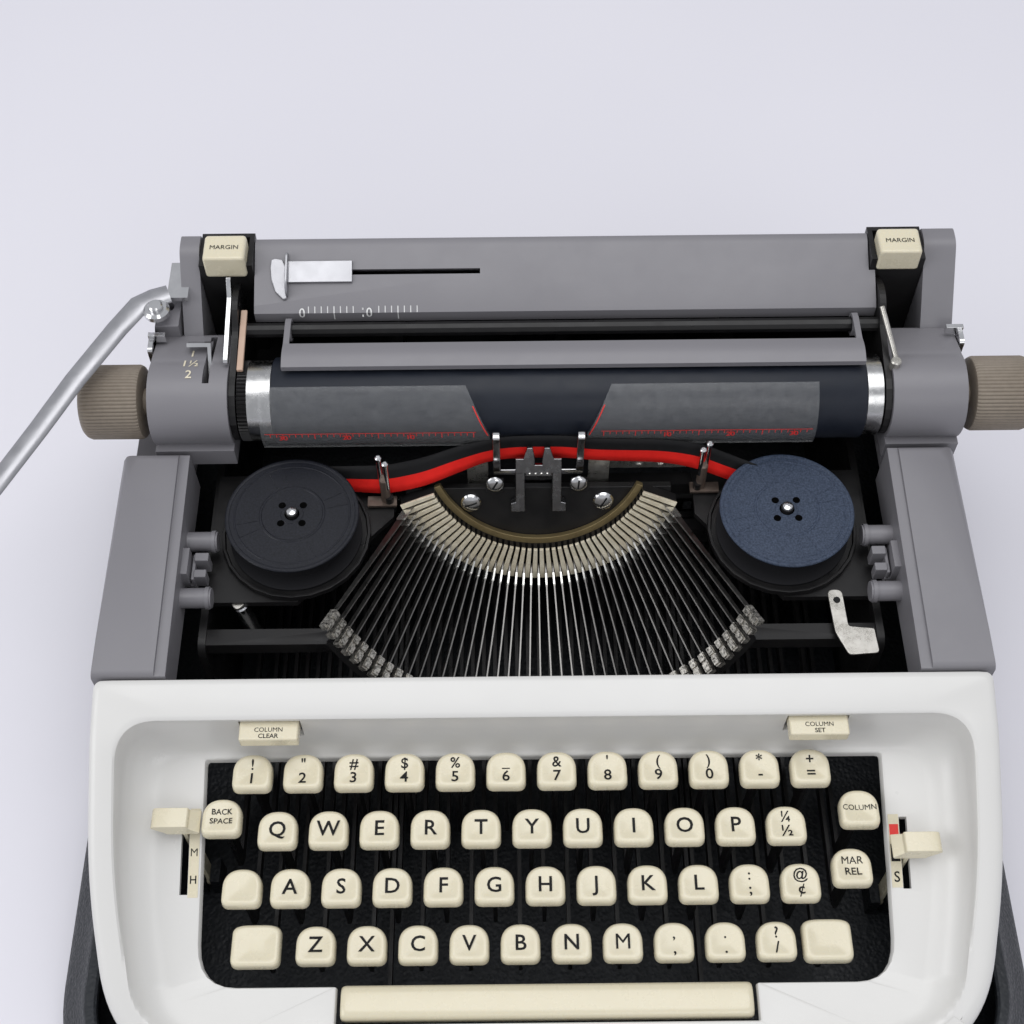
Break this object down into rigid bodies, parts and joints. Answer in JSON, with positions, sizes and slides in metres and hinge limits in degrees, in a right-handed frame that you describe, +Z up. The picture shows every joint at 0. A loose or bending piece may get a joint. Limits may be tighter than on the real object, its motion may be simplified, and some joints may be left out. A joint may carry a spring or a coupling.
{
  "type": "manual typewriter",
  "caption": "Manual typewriter: moulded housing with key well, slotted type segment with typebars, ribbon drive and a sliding carriage with platen, knobs and return lever.",
  "frame": {"origin": "on the table, at the middle of the machine's overall box with the carriage at rest", "axes": "+X to the typist's right along the platen, +Y to the rear, +Z up"},
  "size_m": [0.4283, 0.338, 0.16],
  "materials": {
    "tray_plastic": "leather-grained black moulding",
    "mask_plastic": "pale grey satin moulding",
    "grey_paint": "fine satin grey paint",
    "frame_steel": "black japanned steel",
    "bright_steel": "plated steel",
    "chrome_plate": "chrome plate",
    "segment_metal": "warm nickel-plated casting",
    "platen_rubber": "ground hard rubber",
    "knob_plastic": "taupe ribbed moulding",
    "key_plastic": "ivory moulding",
    "clear_plastic": "clear acrylic",
    "ribbon_cloth": "inked cotton, black over red",
    "spool_dark": "navy-black moulding",
    "spool_blue": "slate blue moulding",
    "cup_enamel": "black enamel"
  },
  "bodies": {
    "chassis": {"base_tray": "tray_plastic", "front_mask": "mask_plastic", "side_panel_left": "grey_paint", "side_panel_right": "grey_paint", "mechanism_frame": "frame_steel", "card_guide_left": "clear_plastic", "card_guide_right": "clear_plastic", "ribbon": "ribbon_cloth", "key_fulcrum_rod": "bright_steel", "spool_cup_left": "cup_enamel", "spool_cup_right": "cup_enamel"},
    "type_basket": {"segment": "segment_metal", "type_basket": "frame_steel", "typebars": "bright_steel", "type_guide": "bright_steel"},
    "typebar_h": {"typebar_h": "bright_steel"},
    "ribbon_vibrator": {"ribbon_vibrator": "chrome_plate"},
    "ribbon_spool_left": {"ribbon_spool_left": "spool_dark"},
    "ribbon_spool_right": {"ribbon_spool_right": "spool_blue"},
    "carriage": {"carriage_frame": "frame_steel", "end_cover_left": "grey_paint", "end_cover_right": "grey_paint", "paper_table": "grey_paint"},
    "platen": {"platen": "platen_rubber", "platen_knob_left": "knob_plastic", "platen_knob_right": "knob_plastic"},
    "return_lever": {"return_lever": "chrome_plate"},
    "paper_bail": {"paper_bail": "grey_paint"},
    "paper_guide": {"paper_guide": "chrome_plate"},
    "margin_key_left": {"margin_key_left": "key_plastic"},
    "margin_key_right": {"margin_key_right": "key_plastic"},
    "line_space_lever": {"line_space_lever": "chrome_plate"},
    "carriage_release_left": {"carriage_release_left": "chrome_plate"},
    "carriage_release_right": {"carriage_release_right": "chrome_plate"},
    "paper_release_lever": {"paper_release_lever": "chrome_plate"},
    "space_bar": {"space_bar": "key_plastic"},
    "shift_keys": {"shift_key_left": "key_plastic", "shift_key_right": "key_plastic"},
    "shift_lock_key": {"shift_lock_key": "key_plastic"},
    "backspace_key": {"backspace_key": "key_plastic"},
    "tab_key": {"tab_key": "key_plastic"},
    "margin_release_key": {"margin_release_key": "key_plastic"},
    "column_clear_key": {"column_clear_key": "key_plastic"},
    "column_set_key": {"column_set_key": "key_plastic"},
    "touch_lever": {"touch_lever": "key_plastic"},
    "ribbon_selector": {"ribbon_selector": "key_plastic"},
    "number_row": {"number_row": "key_plastic"},
    "top_row": {"top_row": "key_plastic"},
    "bottom_row": {"bottom_row": "key_plastic"},
    "key_a": {"key_a": "key_plastic"},
    "key_s": {"key_s": "key_plastic"},
    "key_d": {"key_d": "key_plastic"},
    "key_f": {"key_f": "key_plastic"},
    "key_g": {"key_g": "key_plastic"},
    "key_h": {"key_h": "key_plastic"},
    "key_j": {"key_j": "key_plastic"},
    "key_k": {"key_k": "key_plastic"},
    "key_l": {"key_l": "key_plastic"},
    "key_semicolon": {"key_semicolon": "key_plastic"},
    "key_at": {"key_at": "key_plastic"}
  },
  "joints": [
    {"name": "carriage_travel", "type": "slide", "parent": "chassis", "child": "carriage", "axis": [1, 0, 0], "range_m": [-0.122, 0.1]},
    {"name": "platen_turn", "type": "hinge", "parent": "carriage", "child": "platen", "pos_m": [0.0262, 0.0878, 0.118], "axis": [1, 0, 0], "continuous": true},
    {"name": "return_lever_pull", "type": "hinge", "parent": "carriage", "child": "return_lever", "pos_m": [-0.1364, 0.1231, 0.1405], "axis": [0, 0, 1], "range_deg": [0, 18], "stiffness_Nm_per_rad": 0.6},
    {"name": "paper_bail_lift", "type": "hinge", "parent": "carriage", "child": "paper_bail", "pos_m": [0.0262, 0.1107, 0.135], "axis": [-1, 0, 0], "range_deg": [0, 60]},
    {"name": "paper_guide_move", "type": "slide", "parent": "carriage", "child": "paper_guide", "axis": [1, 0, 0], "range_m": [0, 0.06]},
    {"name": "margin_left_press", "type": "slide", "parent": "carriage", "child": "margin_key_left", "axis": [0, 0, -1], "range_m": [0, 0.004], "stiffness_N_per_m": 400, "springref_m": -0.002},
    {"name": "margin_right_press", "type": "slide", "parent": "carriage", "child": "margin_key_right", "axis": [0, 0, -1], "range_m": [0, 0.004], "stiffness_N_per_m": 400, "springref_m": -0.002},
    {"name": "line_space_set", "type": "hinge", "parent": "carriage", "child": "line_space_lever", "pos_m": [0.0262, 0.0878, 0.118], "axis": [1, 0, 0], "range_deg": [0, 22]},
    {"name": "carriage_release_left_pull", "type": "hinge", "parent": "carriage", "child": "carriage_release_left", "pos_m": [0.0262, 0.1055, 0.114], "axis": [1, 0, 0], "range_deg": [0, 15], "stiffness_Nm_per_rad": 0.2},
    {"name": "carriage_release_right_pull", "type": "hinge", "parent": "carriage", "child": "carriage_release_right", "pos_m": [0.0262, 0.1055, 0.114], "axis": [1, 0, 0], "range_deg": [0, 15], "stiffness_Nm_per_rad": 0.2},
    {"name": "paper_release_pull", "type": "hinge", "parent": "carriage", "child": "paper_release_lever", "pos_m": [0.0262, 0.1195, 0.1415], "axis": [-1, 0, 0], "range_deg": [0, 12]},
    {"name": "space_bar_press", "type": "hinge", "parent": "chassis", "child": "space_bar", "pos_m": [0.0152, 0.0655, 0.048], "axis": [1, 0, 0], "range_deg": [0, 2.2], "stiffness_Nm_per_rad": 1.2, "springref_deg": -6.88},
    {"name": "number_row_press", "type": "hinge", "parent": "chassis", "child": "number_row", "pos_m": [0.0152, 0.0755, 0.048], "axis": [1, 0, 0], "range_deg": [0, 4.6], "stiffness_Nm_per_rad": 3, "springref_deg": -6.88},
    {"name": "top_row_press", "type": "hinge", "parent": "chassis", "child": "top_row", "pos_m": [0.0152, 0.0855, 0.048], "axis": [1, 0, 0], "range_deg": [0, 4.6], "stiffness_Nm_per_rad": 3, "springref_deg": -6.88},
    {"name": "bottom_row_press", "type": "hinge", "parent": "chassis", "child": "bottom_row", "pos_m": [0.0152, 0.0955, 0.048], "axis": [1, 0, 0], "range_deg": [0, 4.2], "stiffness_Nm_per_rad": 3, "springref_deg": -6.88},
    {"name": "key_a_press", "type": "hinge", "parent": "chassis", "child": "key_a", "pos_m": [0.0152, 0.0655, 0.048], "axis": [1, 0, 0], "range_deg": [0, 4.6], "stiffness_Nm_per_rad": 0.35, "springref_deg": -6.88},
    {"name": "key_s_press", "type": "hinge", "parent": "chassis", "child": "key_s", "pos_m": [0.0152, 0.0655, 0.048], "axis": [1, 0, 0], "range_deg": [0, 4.6], "stiffness_Nm_per_rad": 0.35, "springref_deg": -6.88},
    {"name": "key_d_press", "type": "hinge", "parent": "chassis", "child": "key_d", "pos_m": [0.0152, 0.0655, 0.048], "axis": [1, 0, 0], "range_deg": [0, 4.6], "stiffness_Nm_per_rad": 0.35, "springref_deg": -6.88},
    {"name": "key_f_press", "type": "hinge", "parent": "chassis", "child": "key_f", "pos_m": [0.0152, 0.0655, 0.048], "axis": [1, 0, 0], "range_deg": [0, 4.6], "stiffness_Nm_per_rad": 0.35, "springref_deg": -6.88},
    {"name": "key_g_press", "type": "hinge", "parent": "chassis", "child": "key_g", "pos_m": [0.0152, 0.0655, 0.048], "axis": [1, 0, 0], "range_deg": [0, 4.6], "stiffness_Nm_per_rad": 0.35, "springref_deg": -6.88},
    {"name": "key_h_press", "type": "hinge", "parent": "chassis", "child": "key_h", "pos_m": [0.0152, 0.0655, 0.048], "axis": [1, 0, 0], "range_deg": [0, 4.6], "stiffness_Nm_per_rad": 0.35, "springref_deg": -6.88},
    {"name": "key_j_press", "type": "hinge", "parent": "chassis", "child": "key_j", "pos_m": [0.0152, 0.0655, 0.048], "axis": [1, 0, 0], "range_deg": [0, 4.6], "stiffness_Nm_per_rad": 0.35, "springref_deg": -6.88},
    {"name": "key_k_press", "type": "hinge", "parent": "chassis", "child": "key_k", "pos_m": [0.0152, 0.0655, 0.048], "axis": [1, 0, 0], "range_deg": [0, 4.6], "stiffness_Nm_per_rad": 0.35, "springref_deg": -6.88},
    {"name": "key_l_press", "type": "hinge", "parent": "chassis", "child": "key_l", "pos_m": [0.0152, 0.0655, 0.048], "axis": [1, 0, 0], "range_deg": [0, 4.6], "stiffness_Nm_per_rad": 0.35, "springref_deg": -6.88},
    {"name": "key_semicolon_press", "type": "hinge", "parent": "chassis", "child": "key_semicolon", "pos_m": [0.0152, 0.0655, 0.048], "axis": [1, 0, 0], "range_deg": [0, 4.6], "stiffness_Nm_per_rad": 0.35, "springref_deg": -6.88},
    {"name": "key_at_press", "type": "hinge", "parent": "chassis", "child": "key_at", "pos_m": [0.0152, 0.0655, 0.048], "axis": [1, 0, 0], "range_deg": [0, 4.6], "stiffness_Nm_per_rad": 0.35, "springref_deg": -6.88},
    {"name": "shift_press", "type": "hinge", "parent": "chassis", "child": "shift_keys", "pos_m": [0.0152, 0.0655, 0.048], "axis": [1, 0, 0], "range_deg": [0, 3.9], "stiffness_Nm_per_rad": 6, "springref_deg": -17.19},
    {"name": "shift_lock_press", "type": "hinge", "parent": "chassis", "child": "shift_lock_key", "pos_m": [0.0152, 0.0655, 0.048], "axis": [1, 0, 0], "range_deg": [0, 3.9], "stiffness_Nm_per_rad": 0.35, "springref_deg": -6.88},
    {"name": "backspace_press", "type": "hinge", "parent": "chassis", "child": "backspace_key", "pos_m": [0.0152, 0.0655, 0.048], "axis": [1, 0, 0], "range_deg": [0, 4], "stiffness_Nm_per_rad": 0.35, "springref_deg": -6.88},
    {"name": "tab_press", "type": "hinge", "parent": "chassis", "child": "tab_key", "pos_m": [0.0152, 0.0655, 0.048], "axis": [1, 0, 0], "range_deg": [0, 4], "stiffness_Nm_per_rad": 0.35, "springref_deg": -6.88},
    {"name": "margin_release_press", "type": "hinge", "parent": "chassis", "child": "margin_release_key", "pos_m": [0.0152, 0.0655, 0.048], "axis": [1, 0, 0], "range_deg": [0, 4], "stiffness_Nm_per_rad": 0.35, "springref_deg": -6.88},
    {"name": "column_clear_press", "type": "slide", "parent": "chassis", "child": "column_clear_key", "axis": [0, 0, -1], "range_m": [0, 0.003], "stiffness_N_per_m": 400, "springref_m": -0.002},
    {"name": "column_set_press", "type": "slide", "parent": "chassis", "child": "column_set_key", "axis": [0, 0, -1], "range_m": [0, 0.003], "stiffness_N_per_m": 400, "springref_m": -0.002},
    {"name": "touch_lever_set", "type": "hinge", "parent": "chassis", "child": "touch_lever", "pos_m": [-0.1204, -0.0745, 0.014], "axis": [1, 0, 0], "range_deg": [0, 15]},
    {"name": "ribbon_selector_set", "type": "hinge", "parent": "chassis", "child": "ribbon_selector", "pos_m": [0.1508, -0.0859, 0.014], "axis": [1, 0, 0], "range_deg": [-6.5, 6.5]},
    {"name": "basket_shift", "type": "slide", "parent": "chassis", "child": "type_basket", "axis": [0, -0.3746, -0.9272], "range_m": [0, 0.0065]},
    {"name": "typebar_h_strike", "type": "hinge", "parent": "type_basket", "child": "typebar_h", "pos_m": [0.0152, 0.04237, 0.05822], "axis": [-1, 0, 0], "range_deg": [0, 118]},
    {"name": "vibrator_lift", "type": "slide", "parent": "chassis", "child": "ribbon_vibrator", "axis": [0, 0, 1], "range_m": [0, 0.009]},
    {"name": "spool_left_turn", "type": "hinge", "parent": "chassis", "child": "ribbon_spool_left", "pos_m": [-0.0838, 0.0421, 0.095], "axis": [0, 0, 1], "continuous": true},
    {"name": "spool_right_turn", "type": "hinge", "parent": "chassis", "child": "ribbon_spool_right", "pos_m": [0.1142, 0.0421, 0.095], "axis": [0, 0, 1], "continuous": true}
  ],
  "couplings": [
    {"joint": "basket_shift", "follows": "shift_press", "m_per_rad": 0.095483},
    {"joint": "typebar_h_strike", "follows": "key_h_press", "ratio": 25.65},
    {"joint": "vibrator_lift", "follows": "key_h_press", "m_per_rad": 0.11209},
    {"joint": "spool_right_turn", "follows": "spool_left_turn", "ratio": 1.4}
  ]
}
